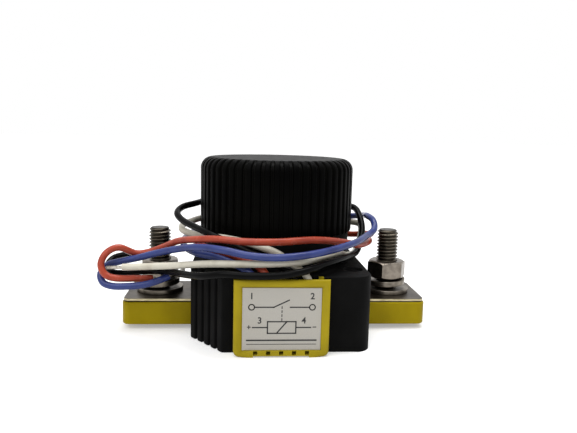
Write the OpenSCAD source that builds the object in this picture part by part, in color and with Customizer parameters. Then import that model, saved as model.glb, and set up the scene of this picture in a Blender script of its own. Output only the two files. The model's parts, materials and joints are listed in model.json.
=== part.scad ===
// High voltage DC contactor: a ribbed coil cap on a base with two stud terminals and four flying leads.
// The label side faces the front, the studs stand left and right, and the mounting face is at the bottom.

/* [Base housing] */
// Width of the base housing, side to side
base_w = 60; // [58:0.2:62]
// Depth of the base housing, front to back
base_d = 74; // [72:0.5:78]
// Height of the deck above the mounting face
deck_z = 25.3; // [25:0.1:28]
// Thickness of the base housing's walls
base_wall = 2.4; // [2:0.1:3]
// Thickness of the deck
deck_t = 2.3; // [2:0.1:2.6]
// Radius of the two plain corners
corner_r = 5.5; // [4:0.5:6]
// How far the ribbed corners are cut back along the front
cut_x = 11; // [8:0.2:11]
// How far the ribbed corners are cut back along the side
cut_y = 15; // [12:0.5:16]
// Number of grooves on each ribbed corner
corner_grooves = 4; // [2:1:5]
// Width of the corner grooves
corner_groove_w = 1.3; // [0.8:0.1:1.6]
// Depth of the corner grooves
corner_groove_d = 1; // [0.5:0.1:1.2]
// Thickness of the bottom cover
cover_t = 1.8; // [1.6:0.1:2.2]
// Distance of the mounting holes from the middle, side to side
mount_x = 25; // [24:0.1:25.2]
// Distance of the mounting holes from the middle, front to back
mount_y = 26; // [25:0.5:30]
// Diameter of the mounting holes
mount_d = 5.5; // [5:0.1:6]
// Diameter of the recess at the top of each mounting hole
recess_d = 6.6; // [6.4:0.1:7.6]
// Depth of the recess at the top of each mounting hole
recess_h = 1; // [0.5:0.1:1.5]

/* [Cap] */
// Diameter of the cap over its ribs
cap_d = 56; // [55.5:0.5:58]
// Height of the cap's top above the mounting face
cap_top = 61.5; // [60:0.5:66]
// Height of the neck between the deck and the cap
neck_h = 10.2; // [8:0.2:12]
// Radius of the cap's rounded upper edge
cap_round = 4; // [3:0.5:6]
// Number of ribs round the cap
cap_ribs = 54; // [36:2:60]
// Part of each rib's pitch that is rib
rib_share = 0.6; // [0.4:0.05:0.7]
// Depth of the grooves between the ribs
rib_depth = 0.8; // [0.4:0.1:1]
// Thickness of the cap's wall behind the grooves
cap_wall = 1.6; // [1.4:0.1:1.8]
// Thickness of the cap's top
cap_lid_t = 2.4; // [2:0.1:3]

/* [Terminals] */
// Length of the yellow header over both wings
header_l = 110; // [106:0.5:114]
// Width of the yellow header
header_w = 27; // [25:0.5:28]
// Thickness of the yellow header
header_t = 8.2; // [7.8:0.1:9]
// Radius of the header's corners
header_r = 3; // [1:0.5:5]
// Thickness of the terminal plates
terminal_t = 1.2; // [1:0.1:1.5]
// How far the terminal plates stop short of the header's edge
terminal_inset = 0.5; // [0.2:0.1:1]
// Distance between the two studs
stud_span = 86; // [84:0.5:88]
// Diameter of the studs
stud_d = 8; // [8:0.5:8]
// Length of the studs above the terminal plates
stud_l = 23.8; // [22:0.2:30]
// Outside diameter of the flat washers
washer_d = 17; // [16:0.2:18]
// Thickness of the flat washers
washer_t = 1.6; // [1.2:0.1:2]
// Outside diameter of the lock washers
lock_d = 14.4; // [13:0.2:15]
// Thickness of the lock washers' wire
lock_t = 2; // [1.6:0.1:2.4]
// Free height of the lock washers
lock_h = 3.8; // [3.4:0.1:4.2]
// Width of the nuts across their flats
nut_af = 13; // [12.5:0.1:14]
// Height of the nuts
nut_h = 6.6; // [6:0.1:7]

/* [Label] */
// Width of the label cover
label_w = 30.6; // [29:0.2:32]
// Height of the label cover
label_h = 25.2; // [24.5:0.1:25.2]
// How far the label cover stands out from the base
label_proud = 4.4; // [4.2:0.1:5]
// Thickness of the label cover's walls
label_wall = 1.4; // [1.3:0.05:1.45]
// Width of the label's window
window_w = 25.2; // [22:0.2:25.4]
// Height of the label's window
window_h = 20.4; // [18:0.1:20.4]
// Height of the window's lower edge
window_z = 2.3; // [2:0.1:2.6]
// Depth of the window
window_d = 0.8; // [0.6:0.1:0.9]
// Thickness of the label plate
plate_t = 0.35; // [0.2:0.05:0.5]
// Width of the slots in the label cover's lower edge
slot_w = 1.4; // [1:0.1:2]
// Distance between those slots
slot_pitch = 4.12; // [3.8:0.02:4.4]

/* [Contacts] */
// Distance of each contact from the middle
contact_x = 13; // [12.6:0.2:14]
// Diameter of the contacts
contact_d = 6; // [5:0.2:6.4]
// Thickness of each contact
contact_t = 0.8; // [0.6:0.1:1]
// Gap between the open contacts
contact_gap = 1.7; // [1.2:0.1:2]
// How far the plunger goes on after the contacts meet
overtravel = 0.6; // [0.3:0.1:0.8]
// Width of the moving bridge
bridge_w = 10; // [8:0.5:11]
// Thickness of the moving bridge
bridge_t = 2; // [1.6:0.1:2.2]

/* [Coil] */
// Thickness of the yoke plate
yoke_t = 2.6; // [2.2:0.1:3]
// Wall thickness of the yoke cup
cup_wall = 1.8; // [1.4:0.1:2]
// Diameter of the plunger
plunger_d = 16.8; // [15:0.2:18]
// Diameter of the plunger's shaft
shaft_d = 4; // [3.6:0.1:4.2]

/* [Leads] */
// Diameter of the leads
lead_d = 2.4; // [2:0.1:2.4]
// Length of the bare wire at the end of each lead
tip_l = 6; // [4:0.5:8]

/* [Hidden] */
$fn = 64;
eps = 0.1;
slack = 0.15;

// Heights through the base, from the mounting face up
header_z0 = cover_t;
header_z1 = header_z0 + header_t;
terminal_z1 = header_z1 + terminal_t;
deck_under = deck_z - deck_t;
ledge_t = 1;
yoke_z0 = deck_under + ledge_t;
yoke_z1 = yoke_z0 + yoke_t;
cap_z0 = deck_z + neck_h;

// Cap and neck
cap_r = cap_d / 2;
cap_bore_r = cap_r - rib_depth - cap_wall;
cap_roof = cap_top - cap_lid_t;
neck_r = cap_r - 1;
lap_h = 2.5;
lap_r = cap_bore_r + 0.6;

// Base cavity
cavity_w = base_w - 2 * base_wall;
cavity_d = base_d - 2 * base_wall;
post_r = recess_d / 2 + 1.6;
cut_angle = atan2(cut_y, cut_x);
cut_l = norm([cut_x, cut_y]);
groove_pitch = cut_l / (corner_grooves + 0.7);
notch_w = header_w + 2 * slack;
notch_z = terminal_z1 + slack;

// Terminals
stud_x = stud_span / 2;
stud_r = stud_d / 2;
stud_top = terminal_z1 + stud_l;
shank_r = stud_r - 0.3;
head_af = 12.6;
head_h = 4;
washer_z1 = terminal_z1 + washer_t;
lock_z1 = washer_z1 + lock_h;
nut_z1 = lock_z1 + nut_h;
barrier_x = 9;
terminal_x0 = barrier_x + 0.2;
terminal_x1 = header_l / 2 - terminal_inset;
terminal_w = header_w - 2 * terminal_inset;
terminal_r = max(header_r - terminal_inset, 0.5);

// Label and lead outlet
front_y = -base_d / 2;
label_y = front_y - label_proud;
outlet_y = front_y - (label_proud - label_wall) / 2;
outlet_z = label_h - 1.5;
outlet_w = 22;
foot_h = 0.5;
slot_count = 5;
slot_sill = 0.2;
slot_rail = 0.15;
label_r = 2;
catch_x = 12.6;
catch_size = [1.5, 1.2, 0.2];
side_drop = 0.9;

// Contacts
pad_z1 = terminal_z1 + contact_t;
bridge_pad_z0 = pad_z1 + contact_gap;
bridge_z0 = bridge_pad_z0 + contact_t;
bridge_z1 = bridge_z0 + bridge_t;
bridge_l = 2 * contact_x + contact_d + 1.6;
chamber_wall = 1.8;
chamber_l = bridge_l + 5;
chamber_w = bridge_w + 4;
chamber_roof_t = 1.5;
chamber_z1 = yoke_z0 - chamber_roof_t;
seat_t = 1.1;
seat_z1 = chamber_z1 - 0.4;
seat_z0 = seat_z1 - seat_t;
seat_r = 4.4;
clip_t = 0.8;
clip_r = 4;
clip_z0 = bridge_z0 - clip_t;
travel = contact_gap + overtravel;
shaft_r = shaft_d / 2;
shaft_z0 = clip_z0 - 0.5;
fit = 0.05;

// Coil, from the yoke plate up
cup_r = cap_bore_r - 0.4;
cup_top = cap_roof - 0.3;
cup_roof = cup_top - cup_wall;
coil_h = cup_roof - yoke_z1;
core_z1 = yoke_z1 + 0.4 * coil_h;
stop_t = 0.8;
plunger_r = plunger_d / 2;
plunger_z0 = core_z1 + travel + 0.2;
plunger_z1 = cup_roof - stop_t;
sleeve_r0 = plunger_r + fit;
sleeve_t = 0.5;
bobbin_r0 = sleeve_r0 + sleeve_t + 0.02;
bobbin_r1 = bobbin_r0 + 1.2;
flange_r = cup_r - cup_wall - 0.3;
flange_t = 1.4;
winding_r = flange_r - 0.8;
well_r = 4.4;
well_d = 5;

// Board and auxiliary switch
board_w = base_w - 2 * cut_x - 8;
board_t = 1.6;
board_y = front_y + base_wall;
board_h = deck_under - cover_t - 1;
large_cap_d = 8;
large_cap_h = 7;
large_cap_at = [-11, 9];
small_cap_d = 6.3;
small_cap_h = 5.5;
small_cap_at = [10, 10];
driver_size = [7, 2.3, 6.5];
driver_at = [-4, 5];
timer_size = [5, 1.6, 4];
timer_at = [-4, 13];
switch_size = [18, 6, 9];
switch_gap = 6;

// Routes of the leads: out of the label cover, once round the neck, and off to the left stud
red_route = [
    [-4.2, outlet_y, outlet_z], [-4.8, -38.4, 25.5], [-5.9, -37.5, 27.1], [-7.7, -35.7, 28.2],
    [-10.4, -33, 29.2], [-14.6, -29.6, 30.2], [-20, -24.5, 30.8], [-26.5, -15.5, 31], [-30, -4, 31],
    [-30, 8, 31], [-24.5, 19, 31], [-14, 27.2, 31], [-1, 31, 31], [13, 29.5, 31], [25, 23.5, 29.6],
    [32.2, 18.4, 29.8], [37.2, 13, 31], [38.4, 8.6, 31.6], [36.2, 4.4, 31.9], [35.2, -1, 31.8],
    [34, -7.4, 31.5], [28.6, -16, 31.9], [21.5, -22.5, 34], [11, -30, 36], [-1, -34.8, 36.1],
    [-12, -34.8, 36.1], [-20.5, -32, 36.3], [-28, -26.5, 35.2], [-34.5, -19, 33.2], [-40, -13, 30],
    [-45, -10.8, 27.8], [-50, -11, 27.2], [-55.4, -13.4, 29.7], [-59.2, -15.6, 28.3],
    [-60.9, -17.2, 24.7], [-59.4, -18.2, 21.3], [-55.8, -18.2, 19.9], [-49.6, -16.8, 19.5],
    [-43.8, -14.8, 19.1]];
blue_route = [
    [-8.5, outlet_y, outlet_z], [-9.2, -38.4, 25.4], [-10.5, -37.6, 26.9], [-12.8, -35.8, 27.9],
    [-16.2, -32.9, 28.8], [-22, -28.4, 29.8], [-28, -22.5, 29.8], [-32.5, -14, 30.2], [-34, -3, 30.4],
    [-33, 8.5, 30.8], [-27.5, 19.5, 32], [-16, 28.8, 35], [-2, 32.6, 35.6], [12, 31.4, 36.6],
    [24.5, 24.2, 36.4], [31.8, 16.6, 37.6], [35.2, 9, 39], [35.2, 1.4, 39.8], [36, -4.8, 39],
    [35.6, -8.8, 36.4], [32.2, -13, 34.8], [25.5, -24, 34], [14.6, -34.4, 33.1], [5, -39.6, 32.5],
    [-3, -40.6, 32.2], [-11, -39.4, 32.6], [-19, -36, 33.6], [-27, -29.8, 33.2], [-35, -21.8, 30.9],
    [-42.5, -16.8, 28.4], [-49, -14.2, 26.2], [-56, -12.6, 24.4], [-59.8, -13.4, 23.2],
    [-61.4, -15.6, 20.8], [-60.2, -17.8, 18.3], [-56.8, -19, 17.3], [-52, -19.2, 17.3],
    [-46.6, -18.8, 17.7], [-42, -17.4, 18.7], [-38, -15.8, 20.2]];
white_route = [
    [8.8, outlet_y, outlet_z], [8, -38.4, 25.4], [6.7, -37.5, 26.9], [4.8, -35.8, 28.1],
    [2.2, -33.6, 29.6], [-1.4, -31.8, 31.8], [-6, -29.6, 33.2], [-12.6, -26.8, 34.6],
    [-18.6, -22.6, 35], [-24.2, -17, 34.6], [-29.4, -12.2, 34.4], [-33.8, -8, 35.2],
    [-34.4, -2.8, 36.2], [-32.2, 3, 36.6], [-29.2, 10, 36.8], [-22.5, 20.2, 37], [-12, 27.4, 37.2],
    [1, 29.8, 37.2], [13.5, 26.8, 36.8], [23, 20.5, 35.8], [30.2, 15, 35.6], [34, 10.2, 35.2],
    [33.7, 5.8, 32], [31.6, 1, 28.8], [29.6, -4.6, 27.1], [27, -9.6, 27], [24.2, -15, 27.9],
    [20.4, -21.6, 29.8], [14, -29.4, 30.1], [6, -37.4, 30.2], [-3, -38.9, 29.9], [-14, -38, 29.5],
    [-22.5, -32.8, 28.4], [-30, -27.2, 26.8], [-38, -22.4, 25.3], [-46, -19, 24.2],
    [-53.5, -17.4, 23.6]];
black_route = [
    [4.5, outlet_y, outlet_z], [3.8, -38.4, 25.4], [2.5, -37.5, 26.9], [0.5, -35.8, 27.9],
    [-2.6, -33.2, 28.9], [-6.4, -30.9, 30.4], [-11.2, -29.6, 31.8], [-17.5, -27.2, 34.4],
    [-24, -22.8, 36.6], [-29.2, -16.2, 37.8], [-33.8, -9.8, 39], [-36.2, -4.6, 40.8],
    [-34.8, 0.8, 42.4], [-30.5, 6, 43.2], [-26.5, 14.5, 43.3], [-17.5, 24.5, 43], [1.5, 30.8, 42.7],
    [19, 24, 41.6], [26.8, 17.2, 42], [31.6, 10.6, 41.8], [32.7, 4, 39], [32.7, -1.2, 35.2],
    [31, -6.2, 31], [28.8, -12, 28.8], [25.4, -19, 28.6], [20.6, -27, 29], [14, -35, 28.8],
    [6, -41, 27.8], [-2, -42, 26.8], [-11, -41.6, 26.6], [-18.5, -39.4, 26.5], [-25.5, -35, 24.9],
    [-31.5, -28, 23.7], [-37.5, -19.8, 22.7], [-45.5, -14.2, 21.6], [-55, -11.8, 20.1],
    [-59, -10.4, 20.5], [-60.6, -7.2, 22.2], [-59.2, -4, 23.9], [-55.8, -2.9, 24.8],
    [-52.6, -3.9, 25.2]];
tip_r = lead_d / 4;

// Helix points: turns of a four-sided or round wire rising along a coil
function helix_at(r, a, z) = [r * cos(a), r * sin(a), z];

// Faces of a tube made of rings of n points, with flat ends
function tube_faces(rings, n) = concat(
    [[for (k = [n - 1:-1:0]) k]],
    [for (i = [0:rings - 2], k = [0:n - 1])
        [i * n + k, i * n + (k + 1) % n, (i + 1) * n + (k + 1) % n, (i + 1) * n + k]],
    [[for (k = [0:n - 1]) (rings - 1) * n + k]]);

// Places one ring of n points across a line that runs along t, with n1 as its first direction
function ring_at(p, t, n1, r, n) = let (n2 = cross(t, n1))
    [for (k = [0:n - 1]) p + r * (cos(360 * k / n) * n1 + sin(360 * k / n) * n2)];

function unit(v) = v / norm(v);
function across(t) = unit(cross(t, abs(t.z) < 0.8 ? [0, 0, 1] : [1, 0, 0]));
function carried(n1, t) = unit(n1 - (n1 * t) * t);

// First directions of all the rings, each carried over from the ring before it
function ring_starts(tangents, i = 0, last = [0, 0, 0]) = i == len(tangents) ? [] :
    let (n1 = i == 0 ? across(tangents[0]) : carried(last, tangents[i]))
    concat([n1], ring_starts(tangents, i + 1, n1));

// Smooth line through the route points, with a few steps between each pair
function between(a, b, c, d, t) =
    0.5 * ((2 * b) + (c - a) * t + (2 * a - 5 * b + 4 * c - d) * t * t
    + (3 * b - a - 3 * c + d) * t * t * t);
function smooth_line(p, steps) = let (last = len(p) - 1) concat(
    [for (i = [0:last - 1], s = [0:steps - 1])
        between(p[max(i - 1, 0)], p[i], p[i + 1], p[min(i + 2, last)], s / steps)],
    [p[last]]);
function line_tangents(p) = let (last = len(p) - 1)
    [for (i = [0:last]) unit(p[min(i + 1, last)] - p[max(i - 1, 0)])];

// Sweeps a round section along a line of points
module swept(line, r, n) {
    t = line_tangents(line);
    n1 = ring_starts(t);
    rings = [for (i = [0:len(line) - 1]) ring_at(line[i], t[i], n1[i], r, n)];
    polyhedron([for (ring = rings, p = ring) p], tube_faces(len(line), n));
}

// Coil spring of round wire, standing on z0
module spring(r, wire_r, z0, z1, turns) {
    steps = 14;
    count = turns * steps;
    rise = z1 - z0 - 2 * wire_r;
    swept([for (i = [0:count]) helix_at(r, 360 * i / steps, z0 + wire_r + rise * i / count)], wire_r, 6);
}

// Rectangle with round corners, drawn about its middle
module rounded(w, d, r) {
    square([w - 2 * r, d], center = true);
    square([w, d - 2 * r], center = true);
    for (x = [-1, 1], y = [-1, 1])
        translate([x * (w / 2 - r), y * (d / 2 - r)]) circle(r);
}

// Outline of the base at the mounting face, with its two plain and two ribbed corners
module base_outline() {
    difference() {
        square([base_w, base_d], center = true);
        for (turn = [0, 180]) rotate(turn) {
            translate([base_w / 2, front_y]) difference() {
                translate([-corner_r, -eps]) square([corner_r + eps, corner_r + eps]);
                translate([-corner_r, corner_r]) circle(corner_r);
            }
            translate([-base_w / 2, front_y]) {
                polygon([[-eps, -eps], [cut_x, -eps], [cut_x, 0], [0, cut_y], [-eps, cut_y]]);
                translate([cut_x / 2, cut_y / 2]) rotate(-cut_angle)
                    for (i = [0:corner_grooves - 1])
                        translate([(i - (corner_grooves - 1) / 2) * groove_pitch, 0])
                            square([corner_groove_w, 2 * corner_groove_d], center = true);
            }
        }
    }
}

// Inside of the base, with posts left standing round the mounting holes
module cavity_outline(inset) {
    difference() {
        square([cavity_w - 2 * inset, cavity_d - 2 * inset], center = true);
        for (turn = [0, 180]) rotate(turn) {
            translate([mount_x, -mount_y]) {
                circle(post_r + inset);
                translate([-post_r - inset, -base_d]) square([2 * base_w, base_d]);
                translate([0, -base_d]) square([base_w, base_d + post_r + inset]);
            }
            translate([-base_w / 2, front_y]) rotate(-cut_angle)
                translate([-base_w, -base_d])
                    square([2 * base_w, base_d + cut_x * sin(cut_angle) + base_wall + inset]);
        }
    }
}

module base_housing() color([0.07, 0.07, 0.075]) {
    difference() {
        union() {
            linear_extrude(deck_z) base_outline();
            translate([0, 0, deck_z - eps]) cylinder(r = neck_r, h = neck_h + eps);
            translate([0, 0, cap_z0 - eps]) cylinder(r = lap_r - slack / 2, h = lap_h + eps);
        }
        translate([0, 0, -eps]) linear_extrude(deck_under + eps) cavity_outline(0);
        translate([0, 0, deck_under - eps]) cylinder(r = cup_r - 2, h = ledge_t + 2 * eps);
        translate([0, 0, yoke_z0]) cylinder(r = cap_bore_r, h = cap_top);
        translate([-base_w, -notch_w / 2, -eps]) cube([2 * base_w, notch_w, notch_z + eps]);
        translate([-outlet_w / 2, front_y - eps, window_z + 1.4])
            cube([outlet_w, base_wall + 2 * eps, outlet_z - 2 * window_z - 2.8]);
        for (turn = [0, 180]) rotate(turn) translate([mount_x, -mount_y, 0]) {
            translate([0, 0, -eps]) cylinder(d = mount_d, h = deck_z + 2 * eps);
            translate([0, 0, deck_z - recess_h]) cylinder(d = recess_d, h = recess_h + eps);
        }
    }
}

module bottom_cover() color([0.09, 0.09, 0.095]) {
    linear_extrude(cover_t) {
        cavity_outline(slack);
        square([base_w, header_w], center = true);
    }
}

// Solid of revolution of the cap's side, top and rounded edge, drawn in by a depth
module cap_round_body(inset) {
    r = cap_round - inset;
    rotate_extrude() {
        square([cap_r - cap_round, cap_top - inset - cap_z0]);
        square([cap_r - inset, cap_top - cap_round - cap_z0]);
        translate([cap_r - cap_round, cap_top - cap_round - cap_z0]) intersection() {
            circle(r);
            square(r + eps);
        }
    }
}

// Star-shaped outline of the ribs
module rib_star() {
    pitch = 360 / cap_ribs;
    half = pitch * rib_share / 2;
    r0 = cap_r - cap_round - 1;
    r1 = cap_r + 1;
    polygon([for (i = [0:cap_ribs - 1], k = [0:3])
        let (a = (i + 0.5) * pitch - 90 + (k < 2 ? -half : half))
        (k == 0 || k == 3 ? r0 : r1) * [cos(a), sin(a)]]);
}

module top_cap() color([0.06, 0.06, 0.065]) {
    difference() {
        translate([0, 0, cap_z0]) intersection() {
            cap_round_body(0);
            union() {
                cap_round_body(rib_depth);
                cylinder(r = cap_r - cap_round, h = cap_top - cap_z0);
                linear_extrude(cap_top - cap_z0) rib_star();
            }
        }
        translate([0, 0, cap_z0 - eps]) cylinder(r = cap_bore_r, h = cap_roof - cap_z0 + eps);
        translate([0, 0, cap_z0 - eps]) cylinder(r = lap_r, h = lap_h + 0.2 + eps);
    }
}

module terminal_header() color([0.93, 0.72, 0.08]) {
    difference() {
        union() {
            translate([0, 0, header_z0]) linear_extrude(header_t) rounded(header_l, header_w, header_r);
            translate([-barrier_x, -header_w / 2, header_z1 - eps])
                cube([2 * barrier_x, header_w, terminal_t + eps]);
        }
        for (x = [-stud_x, stud_x]) translate([x, 0, header_z1 - head_h])
            cylinder(d = (head_af + 2 * fit) / cos(30), h = head_h + eps, $fn = 6);
        translate([0, 0, terminal_z1 - travel - 1.2]) cylinder(r = clip_r + 0.6, h = travel + 1.2 + eps);
    }
}

// Terminal plate on the right wing
module terminal_plate() {
    translate([0, 0, header_z1]) linear_extrude(terminal_t) difference() {
        union() {
            translate([terminal_x1 - terminal_w / 2, 0]) rounded(terminal_w, terminal_w, terminal_r);
            translate([terminal_x0, -terminal_w / 2])
                square([terminal_x1 - terminal_w / 2 - terminal_x0, terminal_w]);
        }
        translate([stud_x, 0]) circle(stud_r + 0.1);
    }
}

module left_terminal_plate() color([0.78, 0.76, 0.72]) rotate(180) terminal_plate();
module right_terminal_plate() color([0.78, 0.76, 0.72]) terminal_plate();

// Stud with the hexagonal head that the header holds
module stud() {
    chamfer = 0.8;
    translate([stud_x, 0, 0]) {
        translate([0, 0, header_z1 - head_h]) cylinder(d = head_af / cos(30), h = head_h, $fn = 6);
        translate([0, 0, header_z1 - eps]) cylinder(r = shank_r, h = stud_top - header_z1 - chamfer + eps);
        translate([0, 0, nut_z1 + eps]) cylinder(r = stud_r, h = stud_top - chamfer - nut_z1 - eps);
        translate([0, 0, stud_top - chamfer]) cylinder(r1 = stud_r, r2 = stud_r - chamfer, h = chamfer);
    }
}

module left_stud() color([0.75, 0.75, 0.74]) rotate(180) stud();
module right_stud() color([0.75, 0.75, 0.74]) stud();

module flat_washer() {
    translate([stud_x, 0, terminal_z1]) difference() {
        cylinder(d = washer_d, h = washer_t);
        translate([0, 0, -eps]) cylinder(r = stud_r + 0.2, h = washer_t + 2 * eps);
    }
}

module left_flat_washer() color([0.80, 0.80, 0.79]) rotate(180) flat_washer();
module right_flat_washer() color([0.80, 0.80, 0.79]) flat_washer();

// Split washer: one turn of square wire that rises to its free height
module lock_washer(turn) {
    r0 = stud_r + 0.3;
    r1 = lock_d / 2;
    steps = 44;
    sweep = 352;
    rise = lock_h - lock_t;
    points = [for (i = [0:steps]) let (a = i * sweep / steps, z = rise * i / steps)
        each [helix_at(r0, a, z), helix_at(r1, a, z),
            helix_at(r1, a, z + lock_t), helix_at(r0, a, z + lock_t)]];
    translate([stud_x, 0, washer_z1]) rotate(turn) polyhedron(points, tube_faces(steps + 1, 4));
}

module left_lock_washer() color([0.70, 0.70, 0.69]) rotate(180) lock_washer(-60);
module right_lock_washer() color([0.70, 0.70, 0.69]) lock_washer(40);

// Hex nut with both ends chamfered, turned about its stud
module hex_nut(turn) {
    corner_r = nut_af / 2 / cos(30);
    face_r = 0.46 * nut_af;
    chamfer = (corner_r - face_r) * tan(30);
    translate([stud_x, 0, lock_z1]) rotate(turn) difference() {
        intersection() {
            cylinder(r = corner_r, h = nut_h, $fn = 6);
            rotate_extrude() polygon([[0, 0], [face_r, 0], [corner_r, chamfer],
                [corner_r, nut_h - chamfer], [face_r, nut_h], [0, nut_h]]);
        }
        translate([0, 0, -eps]) cylinder(r = stud_r + 0.02, h = nut_h + 2 * eps);
    }
}

module left_nut() color([0.77, 0.77, 0.76]) rotate(180) hex_nut(38);
module right_nut() color([0.77, 0.77, 0.76]) hex_nut(5);

module label_cover() color([0.93, 0.72, 0.08]) {
    inner_w = label_w - 2 * label_wall;
    slots_w = (slot_count - 1) * slot_pitch + slot_w;
    catch_z = outlet_z + slack;
    translate([catch_x - catch_size.x / 2, front_y - catch_size.y, catch_z]) {
        cube([catch_size.x, catch_size.y, label_h + catch_size.z - catch_z]);
        cube([inner_w / 2 - catch_x + catch_size.x, catch_size.y, label_h - side_drop - catch_z]);
    }
    difference() {
        translate([0, front_y, 0]) rotate([90, 0, 0]) linear_extrude(label_proud) {
            translate([0, label_h / 2]) rounded(label_w, label_h, label_r);
            translate([-label_w / 2, label_h - 2 * label_r]) square([label_w, 2 * label_r]);
        }
        translate([-inner_w / 2, label_y + label_wall, label_wall]) cube([inner_w, label_proud, label_h]);
        translate([-label_w / 2 - eps, label_y + label_wall, label_h - side_drop])
            cube([label_w + 2 * eps, label_proud, side_drop + eps]);
        translate([-window_w / 2, label_y - eps, window_z]) cube([window_w, window_d + eps, window_h]);
        translate([-slots_w / 2, label_y - eps, -eps]) cube([slots_w, label_proud + 2 * eps, foot_h + eps]);
        for (i = [0:slot_count - 1])
            translate([(i - (slot_count - 1) / 2) * slot_pitch - slot_w / 2, label_y - eps, foot_h + slot_sill])
                cube([slot_w, label_wall + 1 + eps, window_z - slot_rail - foot_h - slot_sill]);
    }
}

module label_plate() color([0.72, 0.72, 0.70]) {
    edge = 0.1;
    translate([-window_w / 2 + edge, label_y + window_d - plate_t, window_z + edge])
        cube([window_w - 2 * edge, plate_t, window_h - 2 * edge]);
}

module lead_potting() color([0.05, 0.05, 0.05]) {
    w = label_w - 2 * label_wall - 2 * slack;
    z0 = window_z + 1.4 + slack;
    translate([-w / 2, label_y + label_wall, z0])
        cube([w, label_proud - label_wall, outlet_z - z0]);
}

module fixed_contact() {
    translate([contact_x, 0, terminal_z1]) cylinder(d = contact_d, h = contact_t);
}

module left_fixed_contact() color([0.82, 0.82, 0.84]) rotate(180) fixed_contact();
module right_fixed_contact() color([0.82, 0.82, 0.84]) fixed_contact();

module moving_bridge() color([0.80, 0.45, 0.25]) {
    translate([0, 0, bridge_z0]) linear_extrude(bridge_t) difference() {
        rounded(bridge_l, bridge_w, 2);
        circle(shaft_r + 0.3);
    }
}

module bridge_contact() {
    translate([contact_x, 0, bridge_pad_z0]) cylinder(d = contact_d, h = contact_t);
}

module left_bridge_contact() color([0.82, 0.82, 0.84]) rotate(180) bridge_contact();
module right_bridge_contact() color([0.82, 0.82, 0.84]) bridge_contact();

module arc_chamber() color([0.90, 0.88, 0.82]) {
    outer_l = chamber_l + 2 * chamber_wall;
    outer_w = chamber_w + 2 * chamber_wall;
    difference() {
        translate([-outer_l / 2, -outer_w / 2, terminal_z1])
            cube([outer_l, outer_w, yoke_z0 - terminal_z1]);
        translate([-chamber_l / 2, -chamber_w / 2, terminal_z1 - eps])
            cube([chamber_l, chamber_w, chamber_z1 - terminal_z1 + eps]);
        translate([0, 0, chamber_z1 - eps]) cylinder(r = shaft_r + 0.4, h = yoke_z0 - chamber_z1 + 2 * eps);
    }
}

// Blow-out magnet on the header's middle, against the front of the chamber
module magnet() {
    magnet_t = 2.6;
    magnet_l = 2 * barrier_x - 2;
    translate([-magnet_l / 2, -chamber_w / 2 - chamber_wall - magnet_t, terminal_z1])
        cube([magnet_l, magnet_t, bridge_z1 - terminal_z1 + 2]);
}

module front_magnet() color([0.25, 0.25, 0.27]) magnet();
module rear_magnet() color([0.25, 0.25, 0.27]) rotate(180) magnet();

module yoke_plate() color([0.60, 0.61, 0.63]) {
    translate([0, 0, yoke_z0]) difference() {
        cylinder(r = cup_r, h = yoke_t);
        translate([0, 0, -eps]) cylinder(r = plunger_r - 1 + 0.02, h = yoke_t + 2 * eps);
    }
}

module yoke_cup() color([0.60, 0.61, 0.63]) {
    difference() {
        translate([0, 0, yoke_z1]) cylinder(r = cup_r, h = cup_top - yoke_z1);
        translate([0, 0, yoke_z1 - eps]) cylinder(r = cup_r - cup_wall, h = coil_h + eps);
    }
}

module coil_bobbin() color([0.16, 0.16, 0.17]) {
    difference() {
        union() {
            translate([0, 0, yoke_z1]) cylinder(r = bobbin_r1, h = coil_h);
            translate([0, 0, yoke_z1]) cylinder(r = flange_r, h = flange_t);
            translate([0, 0, cup_roof - flange_t]) cylinder(r = flange_r, h = flange_t);
        }
        translate([0, 0, yoke_z1 - eps]) cylinder(r = bobbin_r0, h = coil_h + 2 * eps);
    }
}

module coil_winding() color([0.72, 0.36, 0.18]) {
    translate([0, 0, yoke_z1 + flange_t]) difference() {
        cylinder(r = winding_r, h = coil_h - 2 * flange_t);
        translate([0, 0, -eps]) cylinder(r = bobbin_r1 + 0.02, h = coil_h);
    }
}

module guide_sleeve() color([0.80, 0.66, 0.36]) {
    translate([0, 0, yoke_z1]) difference() {
        cylinder(r = sleeve_r0 + sleeve_t, h = coil_h);
        translate([0, 0, -eps]) cylinder(r = sleeve_r0, h = coil_h + 2 * eps);
    }
}

module fixed_core() color([0.62, 0.62, 0.64]) {
    difference() {
        union() {
            translate([0, 0, yoke_z0]) cylinder(r = plunger_r - 1, h = yoke_t + eps);
            translate([0, 0, yoke_z1]) cylinder(r = plunger_r, h = core_z1 - yoke_z1);
        }
        translate([0, 0, yoke_z0 - eps]) cylinder(r = shaft_r + fit, h = core_z1);
        translate([0, 0, core_z1 - well_d]) cylinder(r = well_r, h = well_d + eps);
    }
}

module plunger() color([0.64, 0.64, 0.66]) {
    difference() {
        translate([0, 0, plunger_z0]) cylinder(r = plunger_r, h = plunger_z1 - plunger_z0);
        translate([0, 0, plunger_z0 - eps])
            cylinder(r = shaft_r + 0.02, h = (plunger_z1 - plunger_z0) / 2 + eps);
    }
}

module plunger_shaft() color([0.78, 0.78, 0.80]) {
    translate([0, 0, shaft_z0]) cylinder(r = shaft_r, h = (plunger_z0 + plunger_z1) / 2 - shaft_z0);
}

module return_spring() color([0.66, 0.67, 0.70])
    spring((shaft_r + well_r) / 2, 0.5, core_z1 - well_d, plunger_z0, 4);

module contact_spring() color([0.66, 0.67, 0.70]) spring(3.3, 0.45, bridge_z1, seat_z0, 3);

module spring_seat() color([0.70, 0.70, 0.72]) {
    translate([0, 0, seat_z0]) difference() {
        cylinder(r = seat_r, h = seat_t);
        translate([0, 0, -eps]) cylinder(r = shaft_r + 0.02, h = seat_t + 2 * eps);
    }
}

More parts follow.
